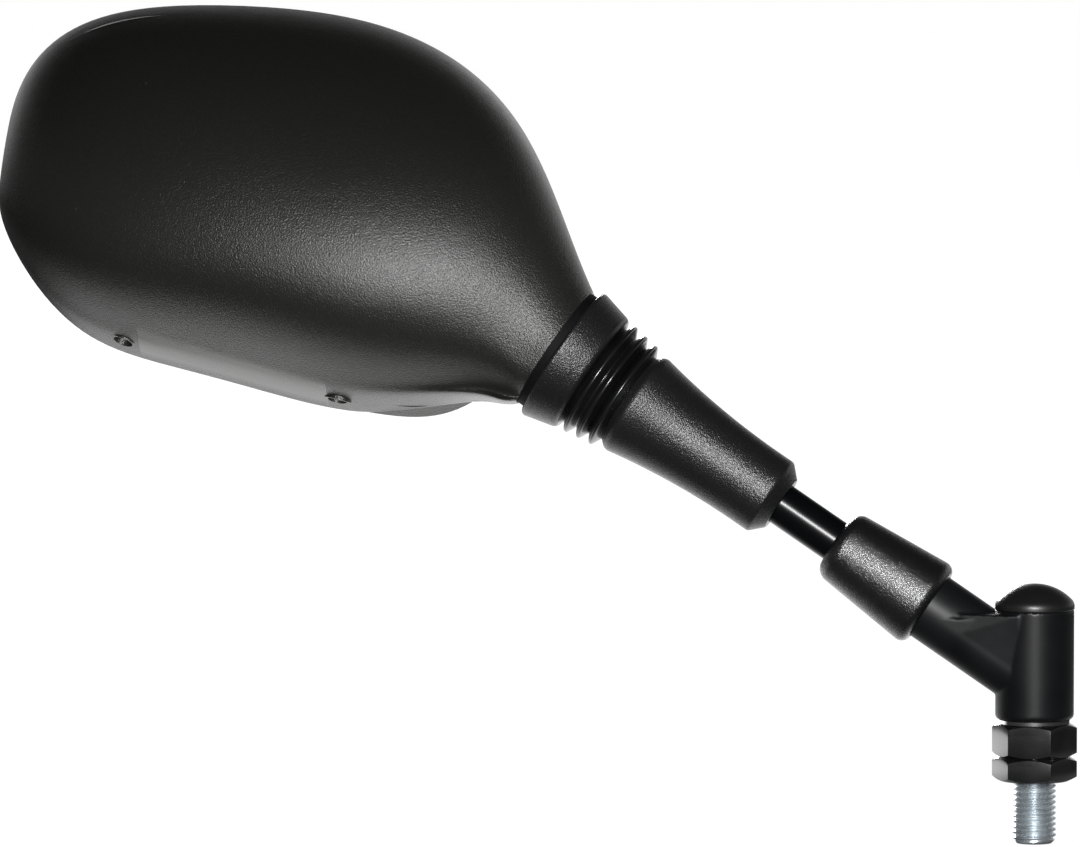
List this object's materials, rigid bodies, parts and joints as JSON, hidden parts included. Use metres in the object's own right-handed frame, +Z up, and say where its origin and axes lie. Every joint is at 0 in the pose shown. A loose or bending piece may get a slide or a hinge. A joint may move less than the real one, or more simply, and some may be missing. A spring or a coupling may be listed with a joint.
{
  "type": "motorcycle mirror",
  "caption": "Rear-view mirror for a motorcycle: a moulded black head on a ball joint with a rubber boot, a slanted stem, a swivelling cast elbow and a threaded mounting stud.",
  "frame": {"origin": "on the mounting stud's axis, where the stud leaves the jam nut", "axes": "+Z up along the stud's axis; the stem leans towards -X; the glass faces +Y and the moulded back -Y"},
  "size_m": [0.2534, 0.0552, 0.1885],
  "materials": {
    "zinc_stud": "bright zinc-plated thread",
    "black_nut": "black passivated steel, satin",
    "bright_washer": "bright steel",
    "hidden_steel": "plain spring steel",
    "cast_black": "satin black paint on a casting",
    "cap_plastic": "satin black moulding",
    "black_rod": "gloss black rod",
    "sleeve_rubber": "satin black rubber",
    "boot_rubber": "finely grained black rubber with smooth folds",
    "seat_nylon": "natural nylon",
    "ring_plastic": "black nylon",
    "grained_shell": "black moulding with a fine grain",
    "carrier_plastic": "black moulding",
    "pad_foam": "closed-cell foam",
    "mirror_face": "convex silvered glass",
    "black_screw": "black screw"
  },
  "bodies": {
    "mount": {"mounting_stud": "zinc_stud", "jam_nut": "black_nut", "pivot_nut": "black_nut", "plain_washer": "bright_washer", "thrust_washer": "hidden_steel", "disc_springs": "hidden_steel"},
    "arm": {"elbow": "cast_black", "dome_cap": "cap_plastic", "stem": "black_rod", "stem_lock_nut": "black_nut", "lock_nut_sleeve": "sleeve_rubber", "boot": "boot_rubber"},
    "front_seat": {"front_ball_cup": "seat_nylon"},
    "rear_seat": {"rear_ball_cup": "seat_nylon"},
    "head": {"socket_ring": "ring_plastic", "housing": "grained_shell", "glass_carrier": "carrier_plastic", "foam_pad": "pad_foam", "mirror_glass": "mirror_face", "carrier_screws": "black_screw"}
  },
  "joints": [
    {"name": "arm_swivel", "type": "hinge", "parent": "mount", "child": "arm", "pos_m": [0, 0, 0.0233], "axis": [0, 0, 1], "continuous": true},
    {"name": "head_tilt", "type": "hinge", "parent": "arm", "child": "front_seat", "pos_m": [-0.10566, 0, 0.09377], "axis": [0, 1, 0], "range_deg": [-12, 12], "deforming": ["boot"]},
    {"name": "head_twist", "type": "hinge", "parent": "front_seat", "child": "rear_seat", "pos_m": [-0.10566, 0, 0.09377], "axis": [-0.832, 0, 0.5548], "range_deg": [-25, 25], "deforming": ["boot"]},
    {"name": "head_pan", "type": "hinge", "parent": "rear_seat", "child": "head", "pos_m": [-0.10566, 0, 0.09377], "axis": [0.5548, 0, 0.832], "range_deg": [-12, 12], "deforming": ["boot"]}
  ]
}
